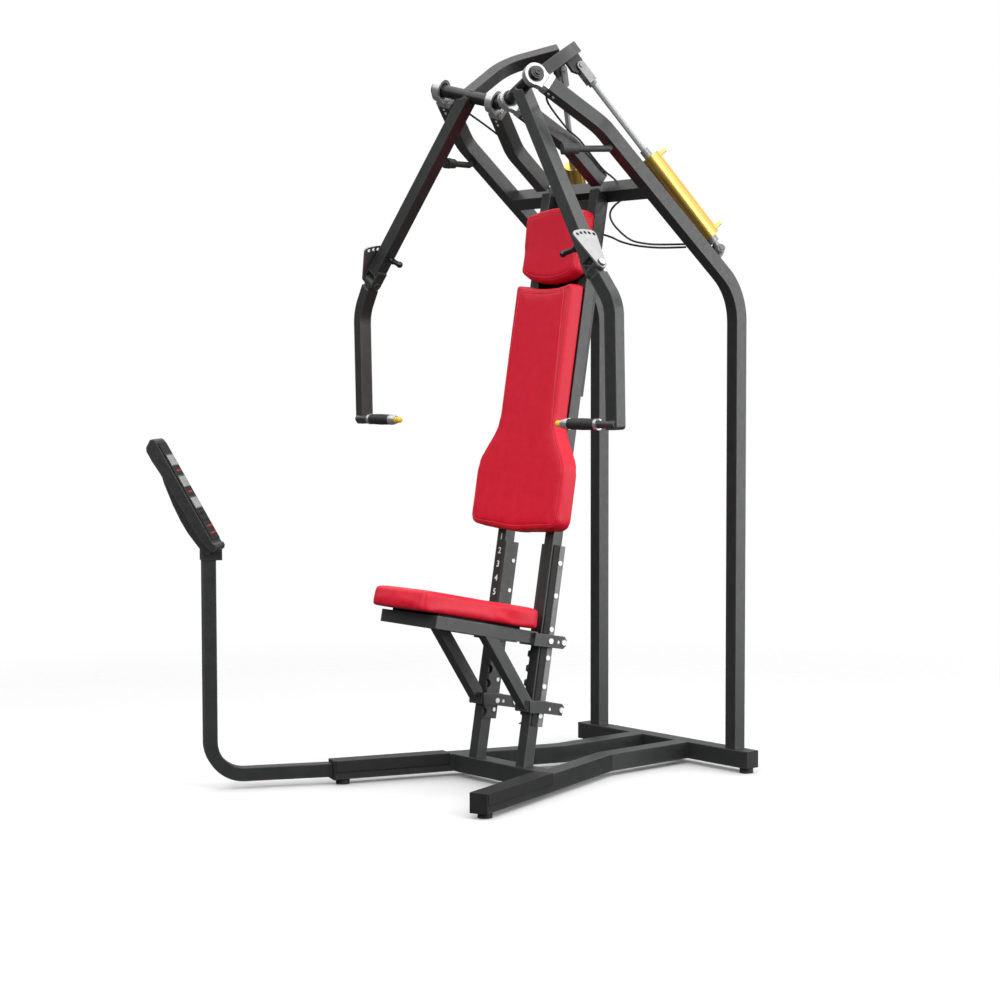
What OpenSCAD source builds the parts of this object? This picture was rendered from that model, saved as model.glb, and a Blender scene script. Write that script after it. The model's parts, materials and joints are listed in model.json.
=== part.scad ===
// Chest press machine with two swinging press arms, air cylinders and a sliding seat.
// Frame: +Z up, the user sits facing -Y, the floor is z = 0.
// Lengths are in millimetres. Side +1 is the +X side and side -1 the -X side.

/* [Base] */
// Half width of the rear base tube
base_half_w = 361; // [340:1:380]
// Width and height of the base tubes
base_tube = 50; // [45:1:55]
// Height of the underside of the base tubes above the floor
base_lift = 16; // [12:1:20]
// Distance of each side rail from the middle of the machine
rail_x = 96.7; // [94:0.1:100]
// Length of the straight rear part of each side rail
rail_straight = 317; // [300:1:330]
// Length of the splayed front part of each side rail
rail_splayed = 709; // [690:1:730]
// Outward splay of the front part of each side rail, in degrees
rail_splay = 18.6; // [17:0.1:20]

/* [Main frame] */
// Width of the square frame tubes
frame_tube = 40; // [38:1:42]
// Distance of the two rear posts from the middle
post_x = 290; // [285:1:295]
// Height of the corner where the rear posts lean forward
lower_corner_z = 1403; // [1395:1:1410]
// Forward lean of the upper tubes, from vertical, in degrees
upper_lean = 51; // [50:0.5:52]
// Inward turn of the tube ends, in degrees
ring_turn = 23; // [22:0.5:24]
// Bend radius of the rear tubes at the lower corner
lower_bend_r = 175; // [150:5:190]
// Bend radius of the inward turns
ring_bend_r = 120; // [100:5:130]
// Distance between the two bearing rings of one shaft
ring_pitch = 181; // [178:1:184]

/* [Seat column] */
// Backward lean of the seat posts, in degrees
post_lean = 10; // [9.5:0.1:10.5]
// Width of the square seat posts
seat_post_w = 35; // [34:1:36]
// Distance of each seat post from the middle
seat_post_x = 102; // [100:1:104]
// Spacing of the seat positions
notch_pitch = 41; // [40:1:42]
// Number of notches in each rack plate
rack_notches = 6; // [5:1:8]

/* [Seat] */
// Tilt of the seat, front up, in degrees
seat_tilt = 11.4; // [11:0.1:12]
// Thickness of the seat cushion
seat_pad_t = 58; // [50:1:62]
// Half width of the front of the seat cushion
seat_front_w = 118; // [112:1:122]
// Half width of the rear of the seat cushion
seat_rear_w = 155; // [148:1:160]

/* [Back pads] */
// Thickness of the back and head pads
back_pad_t = 57; // [50:1:60]
// Half width of the upper part of the back pad
back_top_w = 122; // [112:1:124]
// Half width of the lower part of the back pad
back_low_w = 190; // [180:1:195]

/* [Press arms] */
// Diameter of each arm shaft
shaft_d = 36; // [34:1:36]
// Width of the square arm tubes
arm_tube = 38; // [36:1:38]
// Diameter of the hand grips
grip_d = 32; // [30:1:33]
// Number of handle positions on each adjuster plate
plate_holes = 5; // [5:1:5]
// Angle between two handle positions, in degrees
hole_step = 9; // [9:0.5:10]

/* [Air cylinders] */
// Diameter of the cylinder barrels
barrel_d = 58; // [54:1:60]
// Diameter of the piston rods
rod_d = 16; // [14:1:18]

/* [Console] */
// Width of the square console arm tube
console_tube = 38; // [36:1:40]
// Width of the console housing
console_w = 102; // [90:1:110]

/* [Hidden] */
$fn = 48;

// The model is drawn about the middle of the seat and shifted to stand centred on its own box.
origin_shift = [37.866, 698.203, 0];
x_dir = [1, 0, 0];
y_dir = [0, 1, 0];
z_dir = [0, 0, 1];
lap = 0.4; // how far a straight tube runs into its bend
weld = 0.2; // how much wider a bend is than the straight tubes it takes in
gap = 0.3; // clearance between soft or sliding parts

function unit(v) = v / norm(v);

base_top = base_lift + base_tube;
front_tube_y = -657;
rail_dir = [sin(rail_splay), -cos(rail_splay), 0];
rail_bend = [rail_x, -rail_straight, base_lift + base_tube / 2];
rail_front = rail_bend + rail_dir * rail_splayed;
cover_t = 3.5;
cover_back = 346; // length of each rail cover
foot_r = 20;
foot_inset = 28;
rear_foot_x = base_half_w - 24;

post_y = 26;
lean_dir = [0, -sin(upper_lean), cos(upper_lean)];
top_normal = [0, cos(upper_lean), sin(upper_lean)];
end_dir = lean_dir * cos(ring_turn) - x_dir * sin(ring_turn);
shaft_dir = unit(cross(top_normal, end_dir));
lower_corner = [post_x, post_y, lower_corner_z];
ring_out = [200.4, -683.4, 1977.4];
ring_in = ring_out - shaft_dir * ring_pitch;
shaft_mid = (ring_out + ring_in) / 2;
upper_corner = ring_out - end_dir * ((post_x - ring_out.x) / sin(ring_turn));
inner_x = 116;
inner_corner = ring_in - end_dir * ((inner_x - ring_in.x) / sin(ring_turn));
ring_r = 32;
ring_bore_r = 23;
ring_t = 22;
tail_l = 50;
tail_w = 40;
cross_w = 45;
cross_center = lower_corner + lean_dir * 453;
cross_mid = [0, cross_center.y, cross_center.z];

post_foot = [0, -655, base_top];
post_dir = [0, sin(post_lean), cos(post_lean)];
post_back = [0, cos(post_lean), -sin(post_lean)];
post_top_w = 1652;
post_out = seat_post_x + seat_post_w / 2;
post_in = seat_post_x - seat_post_w / 2;
guide_low = 119;
guide_high = 632;
first_notch = 135; // height of the lowest notch along the post
guide_back = 47;
guide_t = 4;
rack_t = 8;
channel_low = 1063;
channel_t = 16;
screw_pitch = 86.6; // between the screws of a rack plate

seat_origin = [0, -965, 519];
seat_tube = 35;
seat_rail_l = 372;
seat_board_t = 6;

arm_top = shaft_mid - shaft_dir * 5;
elbow = [479, -721.5, 1441.5];
arm_dir = unit(elbow - arm_top);
arm_back = unit(y_dir - arm_dir * (y_dir * arm_dir));
elbow_axis = unit(cross(arm_dir, arm_back));
pin_up = 98; // distance of the lock pin above the elbow
fork_t = 6;
fork_r = 17;
elbow_pin_r = 8;
plate_t = 5;
plate_from = arm_tube / 2 + fork_t + 0.4;
lower_x = 541;
lower_lean = 1.2;
lower_dir = [0, sin(lower_lean), -cos(lower_lean)];
lower_bend_radius = 110;
forearm_dir = unit([0.567, 0.09, -0.818]);
lower_corner_pt = elbow + forearm_dir * ((lower_x - elbow.x) / forearm_dir.x);
handle_z = 1036;
lower_foot = lower_corner_pt + lower_dir * ((lower_corner_pt.z - handle_z) / cos(lower_lean));
handle_start = lower_foot + [15, -13, 0];
handle_dir = [-cos(2.5), -sin(2.5), 0];
handle_bar_r = 10.5;
handle_bar_l = 181;
button_from = 187;
button_tip = 221;
lower_end = 14;
lower_end_round = 11;

lever_bend = [122.7, -510, 2051.5];
lever_end = [30, -384, 2095];
lever_root_dir = unit(lever_bend - arm_top);
lever_tip_dir = unit(lever_end - lever_bend);
lever_up = unit(cross(lever_root_dir, lever_tip_dir));
lever_bend_r = 150;
lever_tube = 35;
lever_plate_t = 12;

rod_pin = [40, -366.5, 2047];
cylinder_offset = [242, 326.5, -518.5];
barrel_pin = rod_pin + cylinder_offset;
cylinder_dir = unit(rod_pin - barrel_pin);
cylinder_l = norm(cylinder_offset);
pin_axis = unit(shaft_dir - cylinder_dir * (shaft_dir * cylinder_dir));

console_start = [-333, -984, 41];
console_yaw = 26;
console_run = [-sin(console_yaw), -cos(console_yaw), 0];
console_post = console_start + console_run * 349;
console_bend_r = 96;
console_post_top = 668;
face_yaw = 46;
face_lean = 29.4;

// Puts the children's Z axis along z and their Y axis near y, at point o.
module frame_at(o, z, y) {
    k = unit(z);
    i = unit(cross(y, k));
    j = cross(k, i);
    multmatrix([[i.x, j.x, k.x, o.x], [i.y, j.y, k.y, o.y], [i.z, j.z, k.z, o.z], [0, 0, 0, 1]])
        children();
}

// A square bar from p to q; d is its size along the y hint.
module bar(p, q, w, d, y) {
    frame_at(p, q - p, y) translate([-w / 2, -d / 2, 0]) cube([w, d, norm(q - p)]);
}

module rod_between(p, q, r) {
    frame_at(p, q - p, abs(unit(q - p).z) > 0.9 ? y_dir : z_dir) cylinder(r=r, h=norm(q - p));
}

function bend_angle(a, b) = acos(a * b);
function bend_reach(a, b, r) = r * tan(bend_angle(a, b) / 2);

// A bend of a square tube at a corner, from direction a into direction b.
module tube_bend(corner, a, b, r, w, d) {
    side = unit(b - a * (a * b));
    center = corner - a * bend_reach(a, b, r) + side * r;
    frame_at(center, cross(a, side), a)
        rotate_extrude(angle=bend_angle(a, b), $fn=120)
            translate([r, 0]) square([w + weld, d + weld], center=true);
}

// The machine stands centred on its own box.
module placed() {
    translate(origin_shift) children();
}

// Draws the children on one side, mirrored when the side is negative.
module on_side(side) {
    placed() if (side < 0) mirror([1, 0, 0]) children(); else children();
}

module both_sides() {
    for (side = [-1, 1]) on_side(side) children();
}

// Local frame of the seat posts: x across, y behind the front face, z up along the post.
module post_frame() {
    translate(post_foot) rotate([-post_lean, 0, 0]) children();
}

// Local frame of the seat: x across, y backward along the seat rails, z up from the rail tops.
module seat_place() {
    placed() translate(seat_origin) rotate([-seat_tilt, 0, 0]) children();
}

// ---------------------------------------------------------------- base

module base_rear_tube() {
    color("dimgray") placed()
        translate([-base_half_w + 4, 0, base_lift])
            cube([2 * base_half_w - 8, base_tube, base_tube]);
}

module base_rails() {
    start = [rail_x, 0, rail_bend.z];
    back_dir = [0, -1, 0];
    reach = bend_reach(back_dir, rail_dir, 60);
    color("dimgray") both_sides() {
        bar(start, rail_bend - back_dir * (reach - lap), base_tube, base_tube, z_dir);
        tube_bend(rail_bend, back_dir, rail_dir, 60, base_tube, base_tube);
        bar(rail_bend + rail_dir * (reach - lap), rail_front, base_tube, base_tube, z_dir);
    }
}

module base_front_tube() {
    color("dimgray") placed() difference() {
        translate([-230, front_tube_y, base_lift]) cube([460, base_tube, base_tube]);
        for (side = [-1, 1]) mirror([side < 0 ? 1 : 0, 0, 0])
            frame_at(rail_bend, rail_dir, z_dir)
                translate([-base_tube / 2, -base_tube, 0]) cube([150, 2 * base_tube, rail_splayed]);
    }
}

module rail_covers() {
    side_h = 29;
    back = rail_front - rail_dir * cover_back;
    color("black") both_sides() frame_at(back, rail_dir, z_dir) difference() {
        translate([-base_tube / 2 - cover_t, base_tube / 2 - side_h, 0])
            cube([base_tube + 2 * cover_t, side_h + cover_t, cover_back]);
        translate([-base_tube / 2, -base_tube, -1]) cube([base_tube, 1.5 * base_tube, cover_back + 2]);
    }
}

module rail_end_caps() {
    cap_t = 6;
    color("black") {
        both_sides() frame_at(rail_front, rail_dir, z_dir)
            translate([-base_tube / 2 - 2, -base_tube / 2 - 1, 0])
                cube([base_tube + 4, base_tube + 5, cap_t]);
        both_sides() translate([base_half_w - 4, 0, base_lift]) cube([4, base_tube, base_tube]);
    }
}

module foot(p) {
    translate([p.x, p.y, 0]) cylinder(r=foot_r, h=base_lift);
}

module feet() {
    color("black") both_sides() {
        foot(rail_front - rail_dir * foot_inset);
        foot([rear_foot_x, base_tube / 2, 0]);
    }
}

// ---------------------------------------------------------------- main frame

module main_tube() {
    reach_low = bend_reach(z_dir, lean_dir, lower_bend_r);
    reach_up = bend_reach(lean_dir, end_dir, ring_bend_r);
    bar([post_x, post_y, base_top], lower_corner - z_dir * (reach_low - lap), frame_tube, frame_tube, y_dir);
    tube_bend(lower_corner, z_dir, lean_dir, lower_bend_r, frame_tube, frame_tube);
    bar(lower_corner + lean_dir * (reach_low - lap), upper_corner - lean_dir * (reach_up - lap),
        frame_tube, frame_tube, top_normal);
    tube_bend(upper_corner, lean_dir, end_dir, ring_bend_r, frame_tube, frame_tube);
    bar(upper_corner + end_dir * (reach_up - lap), ring_out - end_dir * tail_l,
        frame_tube, frame_tube, top_normal);
}

module main_tube_l() {
    color("dimgray") on_side(-1) main_tube();
}

module main_tube_r() {
    color("dimgray") on_side(1) main_tube();
}

module cross_block(half_l) {
    bar(cross_mid - x_dir * half_l, cross_mid + x_dir * half_l, cross_w, frame_tube, top_normal);
}

module upper_cross_tube() {
    color("dimgray") placed() cross_block(post_x - frame_tube / 2);
}

module inner_tubes() {
    reach = bend_reach(lean_dir, end_dir, ring_bend_r);
    foot_pt = inner_corner - lean_dir * 150;
    color("dimgray") both_sides() difference() {
        union() {
            bar(foot_pt, inner_corner - lean_dir * (reach - lap), frame_tube, frame_tube, top_normal);
            tube_bend(inner_corner, lean_dir, end_dir, ring_bend_r, frame_tube, frame_tube);
            bar(inner_corner + end_dir * (reach - lap), ring_in - end_dir * tail_l,
                frame_tube, frame_tube, top_normal);
        }
        frame_at(cross_mid, lean_dir, top_normal)
            translate([-200, -60, -200]) cube([400, 120, 200 + cross_w / 2]);
    }
}

module bearing_ring(center) {
    half_t = ring_t / 2;
    frame_at(center, shaft_dir, end_dir) translate([0, 0, -half_t]) difference() {
        union() {
            cylinder(r=ring_r, h=ring_t);
            linear_extrude(ring_t)
                polygon([[-29, 0], [29, 0], [frame_tube / 2, -tail_l], [-frame_tube / 2, -tail_l]]);
            translate([-frame_tube / 2, -tail_l, half_t - tail_w / 2]) cube([frame_tube, 16, tail_w]);
        }
        translate([0, 0, -20]) cylinder(r=ring_bore_r, h=ring_t + 40);
    }
}

module bearing_rings() {
    color("silver") both_sides() {
        bearing_ring(ring_out);
        bearing_ring(ring_in);
    }
}

module ring_screw_pair(center) {
    for (back = [tail_l + 10, tail_l + 26])
        frame_at(center - end_dir * back - top_normal * ((frame_tube + weld) / 2), -top_normal, end_dir)
            cylinder(r=4, h=1.6, $fn=24);
}

module ring_screws() {
    color("silver") both_sides() {
        ring_screw_pair(ring_out);
        ring_screw_pair(ring_in);
    }
}

// ---------------------------------------------------------------- seat column

// The space taken by the upper cross tube and everything past it, to end the posts against it.
module past_cross_tube() {
    frame_at(cross_mid, lean_dir, top_normal)
        translate([-300, -frame_tube / 2, -cross_w / 2]) cube([600, 200, 300]);
}

module seat_posts() {
    color("dimgray") both_sides() difference() {
        post_frame() translate([post_in, 0, -10]) cube([seat_post_w, seat_post_w, post_top_w + 30]);
        translate([0, -800, base_top - 50]) cube([300, 400, 50]);
        past_cross_tube();
    }
}

module guide_bars() {
    color("gray") both_sides() post_frame() {
        translate([post_in + 4, seat_post_w, guide_low])
            cube([post_out - post_in - 4 + guide_t, guide_back - seat_post_w, guide_high - guide_low]);
        translate([post_out, 28, guide_low]) cube([guide_t, seat_post_w - 28, guide_high - guide_low]);
    }
}

module wear_strips() {
    color("black") both_sides() post_frame()
        translate([post_out, 6, guide_low]) cube([3, 21, guide_high - guide_low]);
}

// A plate on the inner side of each post, with hook notches open to the front in its lower part.
module rack_plates() {
    notch_r = 13;
    plate_l = guide_high - guide_low;
    front = -1;
    color("dimgray") both_sides() post_frame()
        translate([post_in, 0, guide_low]) rotate([0, -90, 0]) linear_extrude(rack_t) difference() {
            translate([0, front]) square([plate_l, guide_back - front]);
            for (i = [0:rack_notches - 1]) translate([first_notch - guide_low + i * notch_pitch, -3]) {
                circle(r=notch_r);
                translate([-notch_r, -20]) square([notch_r, 20]);
            }
        }
}

module guide_screws() {
    head_h = 2;
    color("silver") both_sides() post_frame() {
        for (w = [150, 233, 314, 395, 490, 583]) translate([post_out + guide_t, 34, w])
            rotate([0, 90, 0]) cylinder(r=7.3, h=head_h, $fn=24);
        for (i = [0:5]) translate([post_in - rack_t, 34, 145 + i * screw_pitch])
            rotate([0, -90, 0]) cylinder(r=5.8, h=head_h, $fn=24);
    }
}

module rear_channel() {
    color("black") placed() difference() {
        post_frame() translate([-post_out + 8, seat_post_w, channel_low])
            cube([2 * post_out - 16, channel_t, post_top_w - channel_low]);
        past_cross_tube();
    }
}

// ---------------------------------------------------------------- bumpers and brackets

bumper_front = [249.5, -627.4, 1778.7];
bumper_dir = unit([52, 137, 6]);
bumper_l = 47;
bumper_root = [289, -472, 1800];

module bumper_rods() {
    bend_pt = bumper_front + bumper_dir * 138;
    color("dimgray") both_sides() difference() {
        union() {
            rod_between(bumper_front + bumper_dir * 22, bend_pt, 9);
            translate(bend_pt) sphere(r=9.3);
            rod_between(bend_pt, bumper_root, 9);
        }
        bar(lower_corner, upper_corner, frame_tube, frame_tube, top_normal);
        frame_at(bumper_front, bumper_dir, z_dir) cylinder(r=9.5, h=bumper_l);
    }
}

module rubber_bumpers() {
    color("black") both_sides() frame_at(bumper_front, bumper_dir, z_dir) {
        cylinder(r=15.5, h=22);
        translate([0, 0, 22]) cylinder(r=14, h=bumper_l - 22);
    }
}

ear_t = 6;
ear_r = 20;
eye_half = 9; // half length of the eye at the foot of each cylinder
eye_pin_r = 7;

// A single ear on the inner side of each cylinder's eye, with a pin and washer through it.
module cylinder_brackets() {
    stand = (barrel_pin - lower_corner) * top_normal - frame_tube / 2;
    down = -top_normal + pin_axis * (top_normal * pin_axis);
    ear_mid = barrel_pin - pin_axis * (eye_half + gap + ear_t / 2);
    foot_pt = ear_mid - top_normal * (stand - 3);
    color("silver") both_sides() {
        difference() {
            union() {
                frame_at(ear_mid - pin_axis * ear_t / 2, pin_axis, cylinder_dir) cylinder(r=ear_r, h=ear_t);
                bar(ear_mid, ear_mid + unit(down) * (stand + 4), ear_t - 2 * weld, 2 * ear_r - 1,
                    cross(down, pin_axis));
                bar(foot_pt - lean_dir * 32, foot_pt + lean_dir * 32, frame_tube, 6, top_normal);
            }
            bar(lower_corner - lean_dir * 10, upper_corner, frame_tube, frame_tube, top_normal);
        }
        rod_between(ear_mid, barrel_pin + pin_axis * (eye_half + gap + 1), eye_pin_r);
        frame_at(barrel_pin + pin_axis * (eye_half + gap), pin_axis, cylinder_dir) {
            cylinder(r=12, h=3);
            translate([0, 0, 2]) cylinder(r=7, h=4, $fn=6);
        }
    }
}

// ---------------------------------------------------------------- back pads

back_low = 659;
back_high = 1373;
back_wide = 832;
back_narrow = 985;
pad_round = 26;
pad_back = -2;
board_t = 8;
board_back = pad_back + board_t;

// Outline of the back pad: wide below, narrow above, with a hollow top and a rounded bottom.
module back_outline() {
    shrink = back_low_w - back_top_w;
    curve_steps = 10;
    flank = [for (i = [0:curve_steps])
        let (t = i / curve_steps)
        [back_top_w + shrink * (1 + cos(180 * t)) / 2, back_wide + (back_narrow - back_wide) * t]];
    right = concat(
        [for (a = [-90:15:0])
            [back_low_w - pad_round + pad_round * cos(a), back_low + 12 + pad_round + pad_round * sin(a)]],
        flank,
        [for (a = [0:15:90]) [back_top_w - 8 + 8 * cos(a), back_high - 8 + 8 * sin(a)]],
        [for (t = [0.75:-0.25:0.25]) [back_top_w * t, back_high - 15 * (1 - t * t)]]
    );
    left = [for (i = [len(right) - 1:-1:0]) [-right[i].x, right[i].y]];
    polygon(concat([[0, back_low]], right, [[0, back_high - 15]], left));
}

// Outline of the head pad: arched top and a bottom that follows the back pad's hollow.
module head_outline() {
    low = 1402;
    high = 1584;
    right = concat(
        [for (t = [0.25:0.25:0.75]) [118 * t, low - 24 * (1 - t * t)]],
        [for (a = [-90:15:0]) [118 - 12 + 12 * cos(a), low + 12 + 12 * sin(a)]],
        [for (a = [0:15:90]) [128 - 20 + 20 * cos(a), high - 20 + 20 * sin(a)]],
        [for (t = [0.75:-0.25:0.25]) [108 * t, high + 14 * (1 - t * t)]]
    );
    left = [for (i = [len(right) - 1:-1:0]) [-right[i].x, right[i].y]];
    polygon(concat([[0, low - 24]], right, [[0, high + 14]], left));
}

// Stands an outline up in the post frame, from depth y0 forward by t.
module upright_slab(y0, t) {
    post_frame() translate([0, y0, 0]) rotate([90, 0, 0]) linear_extrude(t) children();
}

module pad_boards() {
    color("black") placed() {
        upright_slab(board_back, board_t) translate([0, 1020]) square([2 * post_in, 650], center=true);
        upright_slab(board_back, board_t) translate([0, 1490]) square([2 * post_in, 150], center=true);
    }
}

module back_pad() {
    color("crimson") placed() upright_slab(pad_back, back_pad_t) back_outline();
}

module head_pad() {
    color("crimson") placed() upright_slab(pad_back, back_pad_t - 10) head_outline();
}

// ---------------------------------------------------------------- console

module console_arm() {
    reach = bend_reach(console_run, z_dir, console_bend_r);
    color("dimgray") placed() difference() {
        union() {
            bar(console_start - console_run * 40, console_post - console_run * (reach - lap),
                console_tube, console_tube, z_dir);
            tube_bend(console_post, console_run, z_dir, console_bend_r, console_tube, console_tube);
            bar(console_post + z_dir * (reach - lap), [console_post.x, console_post.y, console_post_top],
                console_tube, console_tube, console_run);
        }
        mirror([1, 0, 0]) frame_at(rail_front, rail_dir, z_dir)
            translate([-60, -60, -200]) cube([120, 120, 206]);
    }
}

housing_l = 347;
face_out = 19; // distance of the display face in front of the frame's plane
face_t = 3;

// Local frame of the console housing: z up along the face, y toward the user.
module console_frame() {
    face_dir = [sin(face_yaw), cos(face_yaw), 0];
    low = [console_post.x, console_post.y, 682] + face_dir * 14;
    up = -face_dir * sin(face_lean) + z_dir * cos(face_lean);
    placed() frame_at(low, up, face_dir) children();
}

// Side view of the housing: a flat back, a rounded top and a lip that stands out below the face.
module housing_profile() {
    polygon([[-10, 40], [0, -4], [8, -12], [17, -11], [23, -4], [23, 4], [face_out, 10],
        [face_out, housing_l - 10], [face_out - 4, housing_l - 2], [face_out - 12, housing_l],
        [-2, housing_l - 6], [-13, housing_l - 13], [-18, housing_l - 24], [-18, housing_l - 56],
        [-15, housing_l - 95]]);
}

// A wedge behind the housing that runs down to the collar.
module housing_gusset() {
    polygon([[-12, housing_l - 66], [-25, 222], [-33, 160], [-36, 110], [-35, 70], [-28, 20], [-18, -10],
        [2, -8], [0, 60]]);
}

// Stands a side view across the housing, w wide.
module across_housing(w) {
    rotate([90, 0, 90]) translate([0, 0, -w / 2]) linear_extrude(w) children();
}

module console_housing() {
    collar = console_tube + 6;
    color("black") difference() {
        union() {
            console_frame() {
                across_housing(console_w) housing_profile();
                across_housing(56) housing_gusset();
            }
            placed() translate([console_post.x, console_post.y, 650]) rotate([0, 0, -console_yaw])
                translate([-collar / 2, -collar / 2, 0]) cube([collar, collar + 14, 32]);
        }
        placed() bar([console_post.x, console_post.y, 600], [console_post.x, console_post.y, console_post_top],
            console_tube, console_tube, console_run);
    }
}

module console_face() {
    color("dimgray") console_frame()
        translate([-console_w / 2 + 7, face_out, 20]) cube([console_w - 14, face_t, housing_l - 38]);
}

// ---------------------------------------------------------------- hoses

hose_r = 3;
hose_sides = 8;
hose_steps = 4;
hose_gap = 0.7; // distance of a hose from the ring tube or channel it leaves
hose_end_gap = 1.9; // distance of its slanted end from the main tube
ring_hose_root = ring_out - end_dir * 60 - shaft_dir * (frame_tube / 2 + hose_gap);
channel_hose_root = post_foot + [100, 0, 0] + post_back * (seat_post_w + channel_t + hose_gap)
    + post_dir * 1535;
ring_hose = [ring_hose_root, ring_hose_root - shaft_dir * 16, [165, -600, 1910], [142, -514, 1855],
    [149, -468, 1822], [142, -411, 1779], [142, -367, 1744], [142, -329, 1724], [142, -292, 1694],
    [142, -298, 1667], [144, -326, 1649], [150, -350, 1628], [158, -355, 1605], [170, -340, 1578],
    [187, -306, 1549], [208, -268, 1539], [227, -227, 1537], [254, -144, 1540],
    [post_x - frame_tube / 2 - hose_end_gap, -142, 1540]];
channel_hose = [channel_hose_root, channel_hose_root + post_back * 14, [122, -314, 1558],
    [150, -310, 1546], [178, -290, 1536], [205, -260, 1530], [228, -220, 1528], [254, -168, 1530],
    [post_x - frame_tube / 2 - hose_end_gap, -166, 1530]];

// A point of the smooth curve from b to c, with a and d as the points before and after.
function curve_point(a, b, c, d, t) =
    0.5 * (2 * b + (c - a) * t + (2 * a - 5 * b + 4 * c - d) * t * t + (3 * b - a - 3 * c + d) * t * t * t);
function smooth(p) = [
    for (i = [0:len(p) - 2]) for (k = [0:hose_steps - 1])
        curve_point(p[max(i - 1, 0)], p[i], p[i + 1], p[min(i + 2, len(p) - 1)], k / hose_steps),
    p[len(p) - 1]
];
function hose_ring(c, along, ref) =
    let (u = unit(cross(along, ref)), v = cross(unit(along), u))
    [for (k = [0:hose_sides - 1]) let (a = 360 * k / hose_sides) c + hose_r * (u * cos(a) + v * sin(a))];

// A round hose along a smooth curve; ref is a direction the curve never follows.
module hose(points, ref) {
    c = smooth(points);
    n = len(c);
    rings = [for (i = [0:n - 1]) hose_ring(c[i], c[min(i + 1, n - 1)] - c[max(i - 1, 0)], ref)];
    walls = [
        for (i = [0:n - 2]) for (k = [0:hose_sides - 1])
            let (a = i * hose_sides + k, b = i * hose_sides + (k + 1) % hose_sides)
            [a, b, b + hose_sides, a + hose_sides]
    ];
    first = [for (k = [hose_sides - 1:-1:0]) k];
    last = [for (k = [0:hose_sides - 1]) (n - 1) * hose_sides + k];
    polyhedron(points=[for (r = rings) each r], faces=concat([first], walls, [last]), convexity=6);
}

module air_hoses() {
    color("black") both_sides() {
        hose(ring_hose, [0.2, 0.65, 0.75]);
        hose(channel_hose, z_dir);
    }
}

// ---------------------------------------------------------------- seat

upper_w = 362;
lower_w = 172;
roller_y = 60.5;
roller_r = 12.5;
side_plate_t = 5;
side_plate_out = post_out + 7.5;
side_plate_in = post_in - rack_t - 3.5 - side_plate_t;

seat_rail_x = seat_post_x + 1.5;

module seat_frame() {
    color("dimgray") difference() {
        union() {
            seat_place() {
                translate([-post_out - 2, 0, -seat_tube]) cube([2 * post_out + 4, seat_tube, seat_tube]);
                for (s = [-1, 1]) {
                    translate([s * seat_rail_x - seat_tube / 2, seat_tube - lap, -seat_tube])
                        cube([seat_tube, seat_rail_l - seat_tube, seat_tube]);
                    brace(s * seat_rail_x);
                }
                translate([-seat_rail_x, 300, -seat_tube + 3]) cube([2 * seat_rail_x, 25, 25]);
            }
            placed() post_frame() for (s = [-1, 1]) {
                plate_block(s, -30, upper_w - 18, 36);
                plate_block(s, -20, lower_w - 14, 32);
            }
        }
        placed() post_frame() translate([-200, -2, 0]) cube([400, 100, 700]);
    }
}

// A block that fills the width between the two side plates in front of a post.
module plate_block(s, y, z, h) {
    block_w = side_plate_out - side_plate_in - side_plate_t;
    mid = (side_plate_out + side_plate_in + side_plate_t) / 2;
    translate([s * mid - block_w / 2, y, z]) cube([block_w, -y, h]);
}

// A slanted brace from under a seat rail down to the front of a post.
module brace(x) {
    top = [x, 205, -seat_tube];
    low = [x, 382, -210];
    along = unit(low - top);
    difference() {
        bar(top - along * 40, low + along * 8, seat_tube - 0.6, 33, y_dir);
        translate([-300, -100, 1 - seat_tube]) cube([600, 700, 100]);
    }
}

module upper_side_plate() {
    polygon([[-30, upper_w - 18], [80, upper_w - 18], [90, upper_w - 8], [90, upper_w + 8],
        [80, upper_w + 18], [-30, upper_w + 18]]);
}

module lower_side_plate() {
    polygon([[-20, 190], [29, 193], [104, 190], [115, 179], [108, 156], [33, 158], [-12, 155]]);
}

bolt_r = 5;
bolt_head_r = 8;
bolt_head_h = 3.5;

// The axles of the two rollers between each pair of side plates.
module at_axles() {
    for (w = [upper_w, lower_w]) translate([side_plate_in, roller_y, w]) rotate([0, 90, 0]) children();
}

// The two bolts that tie each pair of side plates together behind the rollers.
module at_ties() {
    for (p = [[79, upper_w], [103.5, lower_w]])
        translate([side_plate_in, p.x, p.y]) rotate([0, 90, 0]) children();
}

// Plates on both sides of each post, tied to the seat above and to the braces below.
module carriage_plates() {
    color("gray") both_sides() post_frame() difference() {
        for (x = [side_plate_in, side_plate_out]) translate([x, 0, 0]) rotate([90, 0, 90])
            linear_extrude(side_plate_t) {
                upper_side_plate();
                lower_side_plate();
            }
        at_axles() translate([0, 0, -1]) cylinder(r=bolt_r + 0.05, h=100);
        at_ties() translate([0, 0, -1]) cylinder(r=bolt_r + 0.05, h=100);
    }
}

module carriage_rollers() {
    x0 = side_plate_in + side_plate_t + gap;
    roller_l = side_plate_out - gap - x0;
    color("black") both_sides() post_frame()
        for (w = [upper_w, lower_w]) translate([x0, roller_y, w]) rotate([0, 90, 0]) difference() {
            cylinder(r=roller_r, h=roller_l);
            translate([0, 0, -1]) cylinder(r=bolt_r + 0.05, h=roller_l + 2);
        }
}

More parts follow.
